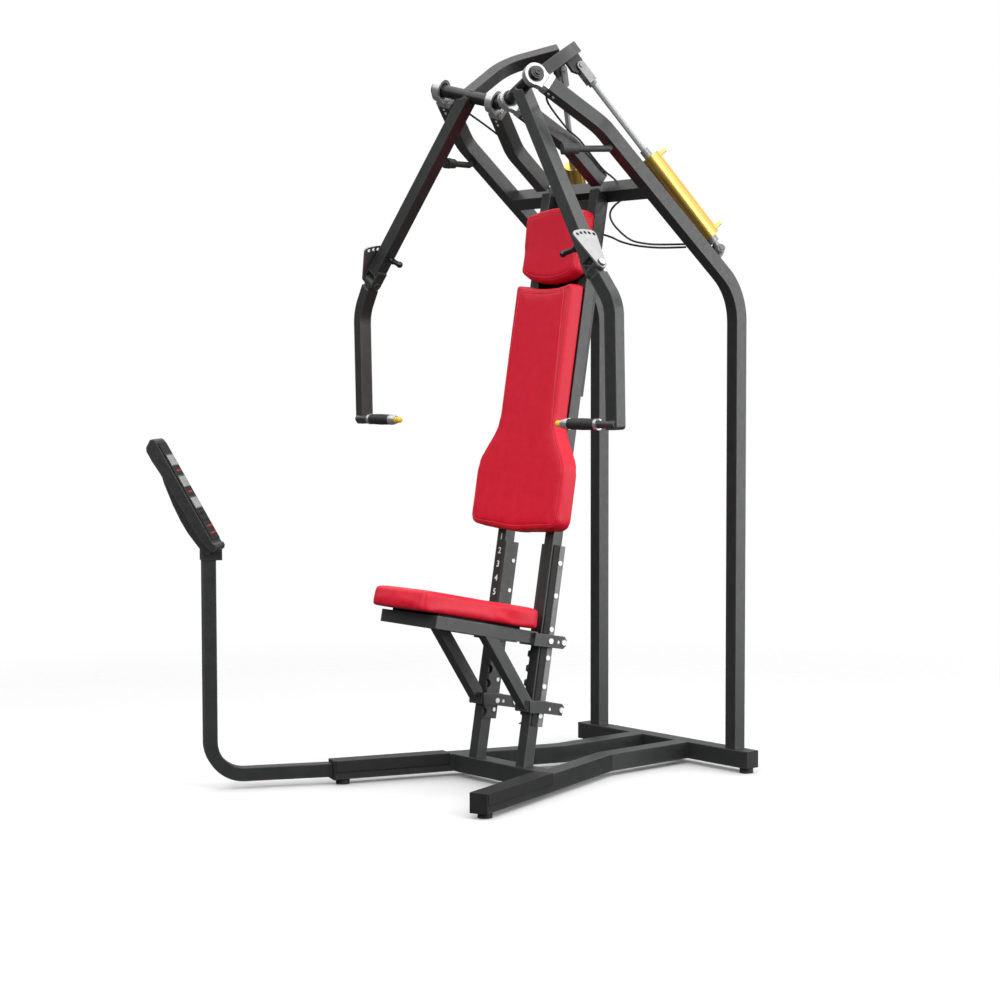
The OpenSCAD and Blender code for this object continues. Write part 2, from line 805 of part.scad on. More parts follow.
// Sunk axles and headed tie bolts across both side plates, and two bolt heads in front of the axles.
module carriage_bolts() {
    bolt_l = side_plate_out + side_plate_t - side_plate_in;
    sunk = 1.5;
    color("silver") both_sides() post_frame() {
        at_axles() translate([0, 0, sunk]) cylinder(r=bolt_r, h=bolt_l - 2 * sunk);
        at_ties() {
            cylinder(r=bolt_r, h=bolt_l);
            translate([0, 0, bolt_l]) cylinder(r=bolt_head_r, h=bolt_head_h, $fn=32);
            translate([0, 0, -3]) cylinder(r=7.5, h=3, $fn=32);
        }
        translate([side_plate_out + side_plate_t, 29, upper_w]) rotate([0, 90, 0])
            cylinder(r=bolt_head_r, h=bolt_head_h, $fn=32);
        translate([side_plate_in, 35, lower_w]) rotate([0, -90, 0]) cylinder(r=7.5, h=3, $fn=32);
    }
}

seat_pad_front = -64;
seat_pad_back = 352;

// Outline of the seat cushion, seen from above: narrow in front and wider behind.
module seat_outline() {
    curve_steps = 10;
    flare_start = 180;
    flare_end = 285;
    flank = [for (i = [0:curve_steps])
        let (t = i / curve_steps)
        [seat_front_w + (seat_rear_w - seat_front_w) * (1 - cos(180 * t)) / 2,
            flare_start + (flare_end - flare_start) * t]];
    right = concat(
        [for (a = [-90:15:0]) [seat_front_w - 24 + 24 * cos(a), seat_pad_front + 12 + 24 + 24 * sin(a)]],
        flank,
        [for (a = [0:15:90]) [seat_rear_w - 30 + 30 * cos(a), seat_pad_back - 30 + 30 * sin(a)]]
    );
    left = [for (i = [len(right) - 1:-1:0]) [-right[i].x, right[i].y]];
    polygon(concat([[0, seat_pad_front]], right, left));
}

module seat_board() {
    color("black") seat_place() translate([-post_in - 16, 20, 0])
        cube([2 * post_in + 32, 300, seat_board_t]);
}

module seat_pad() {
    color("crimson") seat_place() translate([0, 0, seat_board_t]) linear_extrude(seat_pad_t) seat_outline();
}

// ---------------------------------------------------------------- press arms

lock_pin_r = 4.7;
button_r = 8.5;

module shaft_body() {
    over = 12;
    from = ring_in - shaft_dir * (ring_t / 2 + over);
    full = ring_pitch + ring_t + 2 * over;
    frame_at(from, shaft_dir, end_dir) {
        cylinder(r=shaft_d / 2, h=full);
        for (z = [over, over + ring_pitch]) translate([0, 0, z]) cylinder(r=ring_bore_r - 0.05, h=ring_t);
    }
}

module shaft_l() {
    color("black") on_side(-1) shaft_body();
}

module shaft_r() {
    color("black") on_side(1) shaft_body();
}

module shaft_cut() {
    frame_at(ring_in, shaft_dir, end_dir) cylinder(r=shaft_d / 2, h=ring_pitch);
}

module upper_arm_body() {
    difference() {
        bar(arm_top, elbow - arm_dir * 28, arm_tube, arm_tube, arm_back);
        shaft_cut();
        frame_at(elbow - arm_dir * pin_up, elbow_axis, arm_dir)
            translate([0, 0, -arm_tube]) cylinder(r=lock_pin_r + 0.05, h=2 * arm_tube);
    }
    difference() {
        for (s = [-1, 1]) {
            mid = elbow + elbow_axis * s * ((arm_tube + fork_t) / 2 - weld);
            frame_at(mid - elbow_axis * fork_t / 2, elbow_axis, arm_dir) linear_extrude(fork_t) {
                circle(r=fork_r);
                translate([-fork_r, -44]) square([2 * fork_r, 44]);
            }
        }
        elbow_bore(elbow_pin_r + 0.05);
    }
}

module elbow_bore(r) {
    frame_at(elbow, elbow_axis, arm_dir) translate([0, 0, -60]) cylinder(r=r, h=120);
}

module upper_arm_l() {
    color("dimgray") on_side(-1) upper_arm_body();
}

module upper_arm_r() {
    color("dimgray") on_side(1) upper_arm_body();
}

module lever_body() {
    reach = bend_reach(lever_root_dir, lever_tip_dir, lever_bend_r);
    difference() {
        union() {
            bar(arm_top, lever_bend - lever_root_dir * (reach - lap), lever_tube, lever_tube, lever_up);
            tube_bend(lever_bend, lever_root_dir, lever_tip_dir, lever_bend_r, lever_tube, lever_tube);
            bar(lever_bend + lever_tip_dir * (reach - lap), lever_end, lever_tube, lever_tube, lever_up);
        }
        shaft_cut();
        bar(arm_top, elbow, arm_tube, arm_tube, arm_back);
    }
    frame_at(rod_pin, pin_axis, cylinder_dir) translate([0, 0, -lever_plate_t / 2]) linear_extrude(lever_plate_t)
        polygon([[-28, 46], [20, 46], [18, 14], [12, -9], [0, -14], [-20, -13], [-31, 2], [-30, 20]]);
}

module lever_l() {
    color("dimgray") on_side(-1) lever_body();
}

module lever_r() {
    color("dimgray") on_side(1) lever_body();
}

module lower_arm_body() {
    tube = arm_tube - 1;
    reach = bend_reach(forearm_dir, lower_dir, lower_bend_radius);
    side = unit(lower_dir - forearm_dir * (forearm_dir * lower_dir));
    flat = cross(forearm_dir, side);
    inward = cross(flat, lower_dir);
    foot = lower_foot + lower_dir * lower_end;
    bar(elbow + forearm_dir * 20, lower_corner_pt - forearm_dir * (reach - lap), tube, tube, flat);
    tube_bend(lower_corner_pt, forearm_dir, lower_dir, lower_bend_radius, tube, tube);
    difference() {
        bar(lower_corner_pt + lower_dir * (reach - lap), foot, tube, tube, flat);
        frame_at(foot - inward * tube / 2, flat, -lower_dir) translate([0, 0, -tube])
            linear_extrude(2 * tube) corner_cutter(lower_end_round);
    }
    bar(elbow, elbow + forearm_dir * 21, 28, 30, flat);
    rod_between(handle_start, handle_start + handle_dir * handle_bar_l, handle_bar_r);
    elbow_knuckle();
}

// The waste outside a rounded corner at the origin, on the side of +x and +y.
module corner_cutter(r) {
    difference() {
        translate([-1, -1]) square([r + 1, r + 1]);
        translate([r, r]) circle(r=r);
    }
}

// The pivot pin turns in the fork and carries the adjuster plate on its outer end.
module elbow_knuckle() {
    inner = -(arm_tube / 2 + fork_t + 0.4);
    frame_at(elbow, elbow_axis, arm_dir) {
        translate([0, 0, -arm_tube / 2 + 0.4]) cylinder(r=16, h=arm_tube - 0.8);
        translate([0, 0, inner]) cylinder(r=elbow_pin_r, h=plate_from + plate_t - inner);
        translate([0, 0, inner - 4]) cylinder(r=12, h=4);
        translate([0, 0, plate_from + plate_t]) cylinder(r=11, h=4);
    }
}

module lower_arm_l() {
    color("dimgray") on_side(-1) lower_arm_body();
}

module lower_arm_r() {
    color("dimgray") on_side(1) lower_arm_body();
}

// A teardrop plate beside the elbow with a fan of position holes at its wide end.
// It stands one hole ahead, so the lock pin sits in the second hole.
module adjuster_body() {
    frame_at(elbow + elbow_axis * plate_from, elbow_axis, -arm_dir) rotate([0, 0, hole_step]) difference() {
        linear_extrude(plate_t) hull() {
            circle(r=17, $fn=32);
            for (a = [-1.6, 0.2, 2]) rotate(a * hole_step) translate([0, pin_up - 3]) circle(r=15, $fn=32);
        }
        for (i = [0:plate_holes - 1]) rotate([0, 0, (i - 2) * hole_step]) translate([0, pin_up, -1])
            cylinder(r=5, h=plate_t + 2);
        translate([0, 0, -1]) cylinder(r=elbow_pin_r + 0.05, h=plate_t + 2);
    }
}

module adjuster_plate_l() {
    color("silver") on_side(-1) adjuster_body();
}

module adjuster_plate_r() {
    color("silver") on_side(1) adjuster_body();
}

grip_from = 72;
grip_l = 98;
collar_t = 10;

module collars_body() {
    difference() {
        union() {
            frame_at(handle_start + handle_dir * (grip_from - collar_t), handle_dir, z_dir)
                cylinder(r=15.5, h=collar_t);
            frame_at(handle_start + handle_dir * (grip_from + grip_l), handle_dir, z_dir) rotate_extrude()
                polygon([[0, 0], [15.5, 0], [15.5, 5], [14.5, 14], [12.5, 20], [11.5, 27], [0, 27]]);
        }
        rod_between(handle_start, handle_start + handle_dir * handle_bar_l, handle_bar_r);
        frame_at(handle_start + handle_dir * handle_bar_l, handle_dir, z_dir)
            translate([0, 0, -1]) cylinder(r=button_r + 0.05, h=80);
    }
}

module handle_collars_l() {
    color("silver") on_side(-1) collars_body();
}

module handle_collars_r() {
    color("silver") on_side(1) collars_body();
}

module grip_body() {
    frame_at(handle_start + handle_dir * grip_from, handle_dir, z_dir) rotate_extrude()
        polygon([[handle_bar_r, 0], [14, 0], [grip_d / 2 - 1, 8], [grip_d / 2, grip_l / 2],
            [grip_d / 2 - 1, grip_l - 8], [14, grip_l], [handle_bar_r, grip_l]]);
}

module hand_grip_l() {
    color("black") on_side(-1) grip_body();
}

module hand_grip_r() {
    color("black") on_side(1) grip_body();
}

// A spring lock pin through the upper arm, with a bent pull handle on the inner side.
module pull_pin_body() {
    pin_at = elbow - arm_dir * pin_up;
    back = arm_tube / 2 + 8.5;
    root = pin_at - elbow_axis * (back + 10);
    knob = [352, -717.6, 1487];
    rod_between(root, pin_at + elbow_axis * (plate_from - gap), lock_pin_r);
    frame_at(root - elbow_axis * 4, elbow_axis, arm_dir) cylinder(r=9, h=14);
    translate(root) sphere(r=9);
    rod_between(root, knob, 7.5);
    translate(knob) sphere(r=9.5);
}

module pull_pin_l() {
    color("black") on_side(-1) pull_pin_body();
}

module pull_pin_r() {
    color("black") on_side(1) pull_pin_body();
}

module button_body() {
    length = button_tip - button_from;
    frame_at(handle_start + handle_dir * button_from, handle_dir, z_dir) rotate_extrude()
        polygon([[0, 0], [button_r, 0], [button_r, length - 6], [button_r - 2, length - 2], [2, length],
            [0, length]]);
}

module thumb_button_l() {
    color("gold") on_side(-1) button_body();
}

module thumb_button_r() {
    color("gold") on_side(1) button_body();
}

// ---------------------------------------------------------------- air cylinders

barrel_from = 44;
barrel_to = 334;

// Local frame of a cylinder: z from the lower pin to the rod pin, x along the pins.
module cylinder_place() {
    frame_at(barrel_pin, cylinder_dir, cross(cylinder_dir, pin_axis)) children();
}

module barrel_body() {
    cylinder_place() {
        difference() {
            translate([0, 0, barrel_from]) cylinder(r=barrel_d / 2, h=barrel_to - barrel_from, $fn=72);
            translate([0, 0, barrel_from + 20]) cylinder(r=rod_d / 2 + 0.05, h=barrel_to);
        }
        translate([0, barrel_d / 2 + 3, barrel_from + 4]) cylinder(r=4.5, h=barrel_to - barrel_from - 8, $fn=32);
        for (z = [barrel_from + 14, barrel_to - 12]) translate([0, barrel_d / 2 - 2, z]) rotate([-90, 0, 0])
            cylinder(r=6, h=30, $fn=24);
    }
}

module barrel_l() {
    color("gold") on_side(-1) barrel_body();
}

module barrel_r() {
    color("gold") on_side(1) barrel_body();
}

module cylinder_ends_body() {
    cylinder_place() {
        difference() {
            translate([0, 0, barrel_to]) cylinder(r=13, h=26);
            translate([0, 0, barrel_to - 1]) cylinder(r=rod_d / 2 + 0.05, h=40);
        }
        difference() {
            union() {
                translate([0, 0, 8]) cylinder(r=8.5, h=17);
                translate([0, 0, 24]) cylinder(r=16, h=barrel_from - 24);
                rotate([0, 90, 0]) translate([0, 0, -eye_half]) cylinder(r=13, h=2 * eye_half);
            }
            rotate([0, 90, 0]) translate([0, 0, -20]) cylinder(r=eye_pin_r + 0.05, h=40);
        }
    }
}

module cylinder_ends_l() {
    color("silver") on_side(-1) cylinder_ends_body();
}

module cylinder_ends_r() {
    color("silver") on_side(1) cylinder_ends_body();
}

module piston_rod_body() {
    rod_from = barrel_from + 190;
    cylinder_place() translate([0, 0, rod_from]) cylinder(r=rod_d / 2, h=cylinder_l - rod_from - 66);
}

module piston_rod_l() {
    color("silver") on_side(-1) piston_rod_body();
}

module piston_rod_r() {
    color("silver") on_side(1) piston_rod_body();
}

module clevis_body() {
    cylinder_place() translate([0, 0, cylinder_l]) {
        for (s = [-1, 1]) translate([s * 10 - 3, -13, -40]) cube([6, 26, 40]);
        for (s = [-1, 1]) translate([s * 10 - 3, 0, 0]) rotate([0, 90, 0]) cylinder(r=13, h=6);
        translate([-13, -13, -56]) cube([26, 26, 18]);
        translate([0, 0, -66]) cylinder(r=13, h=11, $fn=6);
        for (s = [-1, 1]) translate([s * 14.5 - 1.5, 0, 0]) rotate([0, 90, 0]) cylinder(r=7, h=3, $fn=24);
    }
}

module clevis_l() {
    color("silver") on_side(-1) clevis_body();
}

module clevis_r() {
    color("silver") on_side(1) clevis_body();
}

base_rear_tube();
base_rails();
base_front_tube();
rail_covers();
rail_end_caps();
feet();
main_tube_l();
main_tube_r();
upper_cross_tube();
inner_tubes();
bearing_rings();
ring_screws();
seat_posts();
guide_bars();
wear_strips();
rack_plates();
guide_screws();
rear_channel();
bumper_rods();
rubber_bumpers();
cylinder_brackets();
pad_boards();
back_pad();
head_pad();
console_arm();
console_housing();
console_face();
air_hoses();
seat_frame();
carriage_plates();
carriage_rollers();
carriage_bolts();
seat_board();
seat_pad();
shaft_l();
shaft_r();
upper_arm_l();
upper_arm_r();
lever_l();
lever_r();
lower_arm_l();
lower_arm_r();
adjuster_plate_l();
adjuster_plate_r();
handle_collars_l();
handle_collars_r();
hand_grip_l();
hand_grip_r();
pull_pin_l();
pull_pin_r();
thumb_button_l();
thumb_button_r();
barrel_l();
barrel_r();
cylinder_ends_l();
cylinder_ends_r();
piston_rod_l();
piston_rod_r();
clevis_l();
clevis_r();
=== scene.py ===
import json
import math
import bmesh
import bpy
import numpy as np
from mathutils import Matrix, Vector
from mathutils.bvhtree import BVHTree


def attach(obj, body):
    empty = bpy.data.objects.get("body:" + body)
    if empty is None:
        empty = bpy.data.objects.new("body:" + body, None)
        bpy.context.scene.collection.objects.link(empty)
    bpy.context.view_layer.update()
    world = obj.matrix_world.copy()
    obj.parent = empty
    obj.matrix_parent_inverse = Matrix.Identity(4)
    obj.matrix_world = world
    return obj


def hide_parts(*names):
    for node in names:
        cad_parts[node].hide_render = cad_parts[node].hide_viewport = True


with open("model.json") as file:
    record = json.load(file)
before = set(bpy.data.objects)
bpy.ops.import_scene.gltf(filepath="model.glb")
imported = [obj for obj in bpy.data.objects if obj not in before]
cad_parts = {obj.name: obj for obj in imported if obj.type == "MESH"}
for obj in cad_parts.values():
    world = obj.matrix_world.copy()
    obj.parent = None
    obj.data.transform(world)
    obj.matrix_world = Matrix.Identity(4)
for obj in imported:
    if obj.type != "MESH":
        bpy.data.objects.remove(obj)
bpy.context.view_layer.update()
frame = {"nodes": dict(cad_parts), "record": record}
nodes = frame["nodes"]
scene = bpy.context.scene

# The CAD is drawn about the middle of the seat and moved by this much to stand centred on its box.
SHIFT = Vector((37.866, 698.203, 0))


def place(o, z, y):
    """Matrix in metres of a frame at point o (mm, before the shift) with Z along z and Y near y."""
    k = Vector(z).normalized()
    i = Vector(y).cross(k).normalized()
    j = k.cross(i)
    p = (Vector(o) + SHIFT) / 1000
    return Matrix(((i.x, j.x, k.x, p.x), (i.y, j.y, k.y, p.y), (i.z, j.z, k.z, p.z), (0, 0, 0, 1)))


def other_side(v):
    return Vector((-v[0], v[1], v[2]))


X, Y, Z = Vector((1, 0, 0)), Vector((0, 1, 0)), Vector((0, 0, 1))
post_lean = math.radians(10)
post_dir = Vector((0, math.sin(post_lean), math.cos(post_lean)))
post_back = Vector((0, math.cos(post_lean), -math.sin(post_lean)))
post_foot = Vector((0, -655, 66))
seat_tilt = math.radians(11.4)
seat_back = Vector((0, math.cos(seat_tilt), -math.sin(seat_tilt)))
seat_up = Vector((0, math.sin(seat_tilt), math.cos(seat_tilt)))
seat_origin = Vector((0, -965, 519))

# ---------------------------------------------------------------- camera and light

azimuth, pitch, roll = (math.radians(a) for a in (49.196, 3.367, -0.11))
ahead = Vector((-math.sin(azimuth), math.cos(azimuth), 0))
right = Vector((math.cos(azimuth), math.sin(azimuth), 0))
look = math.cos(pitch) * ahead - math.sin(pitch) * Z
up = right.cross(look)
cam_right = math.cos(roll) * right + math.sin(roll) * up
cam_up = -math.sin(roll) * right + math.cos(roll) * up
cam_at = (Vector((4539, -4555.5, 1165.8)) + SHIFT) / 1000
camera = bpy.data.objects.new("camera", bpy.data.cameras.new("camera"))
camera.matrix_world = Matrix((
    (cam_right.x, cam_up.x, -look.x, cam_at.x),
    (cam_right.y, cam_up.y, -look.y, cam_at.y),
    (cam_right.z, cam_up.z, -look.z, cam_at.z),
    (0, 0, 0, 1),
))
camera.data.sensor_width = 36
camera.data.lens = 76.44
scene.collection.objects.link(camera)
scene.camera = camera


def softbox(name, at, size, radiance, target=(0, 0, 1.0)):
    data = bpy.data.lights.new(name, "AREA")
    data.shape = "RECTANGLE"
    data.size, data.size_y = size
    data.energy = radiance * math.pi * size[0] * size[1]
    lamp = bpy.data.objects.new(name, data)
    lamp.location = at
    lamp.rotation_euler = (Vector(at) - Vector(target)).to_track_quat("Z", "Y").to_euler()
    scene.collection.objects.link(lamp)


softbox("key_right", (5.6, 0.4, 3.4), (2.6, 3.0), 4.5)
softbox("rim_rear_right", (4.8, 3.7, 1.3), (5.2, 3.6), 3.2)
softbox("front_fill", (2.4, -6.2, 4.4), (2.6, 2.6), 9.5)
softbox("overhead", (0.5, 1.0, 5.2), (6.0, 6.0), 0.8, (0.5, 1.0, 0))

world = bpy.data.worlds.new("studio")
world.use_nodes = True
scene.world = world
scene.view_settings.view_transform = "Standard"


def studio_sky():
    """White to the camera; to everything else bright overhead and dim toward the horizon."""
    tree = world.node_tree
    sky = tree.nodes["Background"]
    sky.inputs["Color"].default_value = (1, 1, 1, 1)
    coords = tree.nodes.new("ShaderNodeTexCoord")
    split = tree.nodes.new("ShaderNodeSeparateXYZ")
    climb = tree.nodes.new("ShaderNodeMapRange")
    climb.interpolation_type = "SMOOTHSTEP"
    for key, value in (("From Min", 0.15), ("From Max", 0.6), ("To Min", 0.13), ("To Max", 1.45)):
        climb.inputs[key].default_value = value
    white = tree.nodes.new("ShaderNodeBackground")
    white.inputs["Color"].default_value = (1, 1, 1, 1)
    path = tree.nodes.new("ShaderNodeLightPath")
    pick = tree.nodes.new("ShaderNodeMixShader")
    tree.links.new(coords.outputs["Generated"], split.inputs[0])
    tree.links.new(split.outputs["Z"], climb.inputs["Value"])
    tree.links.new(climb.outputs[0], sky.inputs["Strength"])
    tree.links.new(path.outputs["Is Camera Ray"], pick.inputs["Fac"])
    tree.links.new(sky.outputs[0], pick.inputs[1])
    tree.links.new(white.outputs[0], pick.inputs[2])
    tree.links.new(pick.outputs[0], tree.nodes["World Output"].inputs["Surface"])


studio_sky()

# ---------------------------------------------------------------- materials


class Maker:
    """A Principled material with helpers that add procedural detail."""

    def __init__(self, name, color, rough, metal=0.0, spec=0.5):
        self.mat = bpy.data.materials.new(name)
        self.mat.use_nodes = True
        self.nt = self.mat.node_tree
        self.bsdf = self.nt.nodes["Principled BSDF"]
        self.color = color
        self.bsdf.inputs["Base Color"].default_value = (*color, 1)
        self.bsdf.inputs["Roughness"].default_value = rough
        self.bsdf.inputs["Metallic"].default_value = metal
        self.bsdf.inputs["Specular IOR Level"].default_value = spec
        self.rough = rough
        self.coords = self.node("ShaderNodeTexCoord").outputs["Object"]
        self.normal = None

    def node(self, kind, **inputs):
        n = self.nt.nodes.new(kind)
        for key, value in inputs.items():
            self.feed(n.inputs[key.replace("_", " ")], value)
        return n

    def feed(self, socket, value):
        if isinstance(value, bpy.types.NodeSocket):
            self.nt.links.new(value, socket)
        else:
            socket.default_value = value

    def math(self, op, a, b=0.0, c=0.0):
        n = self.node("ShaderNodeMath")
        n.operation = op
        for socket, value in zip(n.inputs, (a, b, c)):
            self.feed(socket, value)
        return n.outputs[0]

    def noise(self, scale, detail=3.0, stretch=None):
        vector = self.coords
        if stretch:
            m = self.node("ShaderNodeMapping", Vector=self.coords, Scale=stretch)
            vector = m.outputs[0]
        return self.node("ShaderNodeTexNoise", Vector=vector, Scale=scale, Detail=detail).outputs["Fac"]

    def mix(self, fac, a, b):
        n = self.node("ShaderNodeMix")
        n.data_type = "RGBA"
        self.feed(n.inputs["Factor"], fac)
        self.feed(n.inputs["A"], a)
        self.feed(n.inputs["B"], b)
        return n.outputs["Result"]

    def ramp(self, value, lo, hi, to_lo=0.0, to_hi=1.0):
        n = self.node("ShaderNodeMapRange", Value=value)
        for key, v in (("From Min", lo), ("From Max", hi), ("To Min", to_lo), ("To Max", to_hi)):
            n.inputs[key].default_value = v
        return n.outputs[0]

    def tint(self, fac, dark, light):
        c = self.color
        self.feed(self.bsdf.inputs["Base Color"], self.mix(
            fac, tuple(v * dark for v in c) + (1,), tuple(min(v * light, 1) for v in c) + (1,)))

    def vary_rough(self, fac, spread):
        self.feed(self.bsdf.inputs["Roughness"], self.ramp(fac, 0.3, 0.7, self.rough - spread, self.rough + spread))

    def round_edges(self, radius=0.003):
        self.normal = self.node("ShaderNodeBevel", Radius=radius).outputs[0]
        self.feed(self.bsdf.inputs["Normal"], self.normal)

    def edge_highlight_mask(self, radius):
        """1 on rounded edges, 0 on flats, from how far the rounded normal turns from the face's own; it places the
        painted edge highlights.
        """
        soft = self.node("ShaderNodeBevel", Radius=radius).outputs[0]
        turn = self.node("ShaderNodeVectorMath")
        turn.operation = "DOT_PRODUCT"
        self.feed(turn.inputs[0], soft)
        self.feed(turn.inputs[1], self.node("ShaderNodeNewGeometry").outputs["True Normal"])
        return self.ramp(turn.outputs["Value"], 0.995, 0.90)

    def bump(self, height, strength, distance):
        n = self.node("ShaderNodeBump", Height=height, Strength=strength, Distance=distance)
        if self.normal:
            self.feed(n.inputs["Normal"], self.normal)
        self.normal = n.outputs[0]
        self.feed(self.bsdf.inputs["Normal"], self.normal)


def painted(name, color, rough=0.36, edge=0.003):
    m = Maker(name, color, rough, spec=0.55)
    m.round_edges(edge)
    mottled = m.mix(m.ramp(m.noise(26, 4), 0.3, 0.7), *(tuple(v * k for v in color) + (1,) for k in (0.86, 1.14)))
    # Painted highlight: the paint turns paler along every rounded edge to stand in for light catching the edges.
    painted_edge_highlight = tuple(0.6 * v + 0.05 for v in color) + (1,)
    m.feed(m.bsdf.inputs["Base Color"], m.mix(m.edge_highlight_mask(0.007), mottled, painted_edge_highlight))
    m.vary_rough(m.noise(60, 4), 0.05)
    m.bump(m.noise(700, 2), 0.10, 0.0006)
    return m.mat


def plastic(name, color, rough, grain=1500, strength=0.12):
    m = Maker(name, color, rough)
    m.round_edges(0.002)
    m.tint(m.ramp(m.noise(35, 3), 0.3, 0.7), 0.85, 1.2)
    m.vary_rough(m.noise(90, 3), 0.06)
    m.bump(m.noise(grain, 2), strength, 0.0002)
    return m.mat


def metal(name, color, rough, stretch=None, edge=0.0015, strength=0.12, metal=1.0):
    m = Maker(name, color, rough, metal=metal)
    m.round_edges(edge)
    m.tint(m.ramp(m.noise(45, 3), 0.3, 0.7), 0.88, 1.06)
    brush = m.noise(900, 3, stretch) if stretch else m.noise(500, 3)
    m.vary_rough(brush, 0.07)
    m.bump(brush, strength, 0.0003)
    return m.mat


def vinyl(name, color):
    m = Maker(name, color, 0.46, spec=0.32)
    pores = m.node("ShaderNodeTexVoronoi", Vector=m.coords, Scale=620.0).outputs["Distance"]
    mottle = m.math("MULTIPLY_ADD", m.noise(240, 4), 0.6, m.math("MULTIPLY", m.noise(38, 3), 0.4))
    seam_groove_and_shade = m.node("ShaderNodeAttribute")
    seam_groove_and_shade.attribute_name = "seam_groove_and_shade"
    worn = m.ramp(mottle, 0.36, 0.64)
    c = m.color
    base = m.mix(worn, tuple(v * 0.92 for v in c) + (1,), (c[0] * 1.1, c[1] * 1.6 + 0.002, c[2] * 1.3 + 0.003, 1))
    # Painted shade: the colour darkens along the seam groove.
    m.feed(m.bsdf.inputs["Base Color"], m.mix(
        m.math("MULTIPLY", seam_groove_and_shade.outputs["Fac"], 0.55), base, tuple(v * 0.45 for v in c) + (1,)))
    m.vary_rough(mottle, 0.07)
    m.bump(m.noise(200, 3), 0.12, 0.001)
    m.bump(pores, 0.22, 0.0006)
    return m.mat


def fluted_metal_painted_streaks(name, color, at, axis, side, flutes, depth, metal=1.0, rough=0.27):
    """Brushed round bar with lengthwise light and dark streaks round its axis, partly flutes and brushed tone and
    partly painted reflections.
    """
    m = Maker(name, color, rough, metal=metal)
    k = Vector(axis).normalized()
    e1 = (Vector(side) - k * k.dot(Vector(side))).normalized()
    e2 = k.cross(e1)
    rel = m.node("ShaderNodeVectorMath")
    rel.operation = "SUBTRACT"
    m.feed(rel.inputs[0], m.coords)
    rel.inputs[1].default_value = (Vector(at) + SHIFT) / 1000

    def along(v):
        n = m.node("ShaderNodeVectorMath")
        n.operation = "DOT_PRODUCT"
        m.feed(n.inputs[0], rel.outputs[0])
        n.inputs[1].default_value = v
        return n.outputs["Value"]

    angle = m.math("ARCTAN2", along(e2), along(e1))
    wave = m.math("SINE", m.math("MULTIPLY", angle, flutes))
    line = m.node("ShaderNodeCombineXYZ", X=m.math("COSINE", angle), Y=m.math("SINE", angle),
                  Z=m.math("MULTIPLY", along(k), 0.3))
    brush = m.node("ShaderNodeTexNoise", Vector=line.outputs[0], Scale=6.0, Detail=1.5).outputs["Fac"]
    # Painted reflection: lengthwise light and dark streaks fixed round the axis tint the colour; depth sets their
    # contrast.
    m.tint(m.ramp(m.math("MULTIPLY_ADD", wave, 0.1, brush), 0.3, 0.7), 1 - depth, 1 + depth / 2)
    m.vary_rough(brush, 0.05)
    m.bump(wave, 0.1, 0.0006)
    return m.mat


charcoal = (0.024, 0.025, 0.025)
frame_paint = painted("charcoal_paint", charcoal)
frame_dark = painted("dark_paint", (0.014, 0.014, 0.0145), 0.42)
arm_paint = painted("arm_paint", (0.026, 0.027, 0.027), 0.33)
black_cover = plastic("black_cover", (0.008, 0.008, 0.008), 0.55, 900, 0.35)
black_plastic = painted("black_plastic", (0.015, 0.015, 0.0155), 0.4, 0.004)
rubber = plastic("black_rubber", (0.012, 0.012, 0.012), 0.62, 700, 0.4)
bumper_rubber = plastic("bumper_rubber", (0.035, 0.035, 0.035), 0.55, 500, 0.3)
grip_foam = plastic("grip_rubber", (0.014, 0.014, 0.0145), 0.58, 420, 0.6)
hose_black = plastic("hose_black", (0.01, 0.01, 0.01), 0.35)
alloy = metal("polished_alloy", (0.58, 0.58, 0.58), 0.26, metal=0.8)
plate_alloy = metal("plate_alloy", (0.42, 0.42, 0.42), 0.42, strength=0.2, metal=0.92)
steel = metal("brushed_steel", (0.42, 0.43, 0.44), 0.36, (1, 1, 0.08), metal=0.7)
zinc = metal("zinc_screws", (0.82, 0.82, 0.8), 0.36, edge=0.001, metal=0.25)
cast_alloy = metal("cast_alloy", (0.30, 0.30, 0.305), 0.42, metal=0.55)
black_steel = metal("black_steel", (0.07, 0.07, 0.072), 0.36)
brass = metal("brass", (0.72, 0.47, 0.13), 0.27)
bracket_grey = painted("bracket_grey", (0.16, 0.16, 0.16), 0.4)
board_black = plastic("board_black", (0.01, 0.01, 0.01), 0.7, 300, 0.5)
red_vinyl = vinyl("red_vinyl", (0.60, 0.003, 0.022))
# Lighter red than the pads: a painted highlight along the raised seams.
red_welt_highlight = vinyl("red_welt_highlight", (0.78, 0.020, 0.045))
yellow = plastic("yellow_plastic", (0.78, 0.55, 0.03), 0.35)
face_grey = plastic("display_face", (0.008, 0.008, 0.0085), 0.2)
screen = plastic("display_window", (0.36, 0.38, 0.36), 0.25)
red_mark = plastic("red_mark", (0.35, 0.008, 0.012), 0.45)
white_mark = plastic("white_mark", (0.8, 0.8, 0.8), 0.5)

cyl_pin = Vector((282, -40, 1528.5))
cyl_dir = Vector((-242, -326.5, 518.5)).normalized()
shaft_dir = Vector((0.9205, -0.3036, 0.2459)).normalized()
gold, rod_grey = (0.80, 0.53, 0.13), (0.40, 0.41, 0.42)
barrels, rods = {}, {}
for side, turn in (("r", Vector), ("l", other_side)):
    place_of = (turn(cyl_pin), turn(cyl_dir), turn(shaft_dir))
    barrels[side] = fluted_metal_painted_streaks("gold_" + side, gold, *place_of, 11, 0.25, rough=0.3)
    rods[side] = fluted_metal_painted_streaks("rod_" + side, rod_grey, *place_of, 5, 0.5, metal=0.3, rough=0.3)

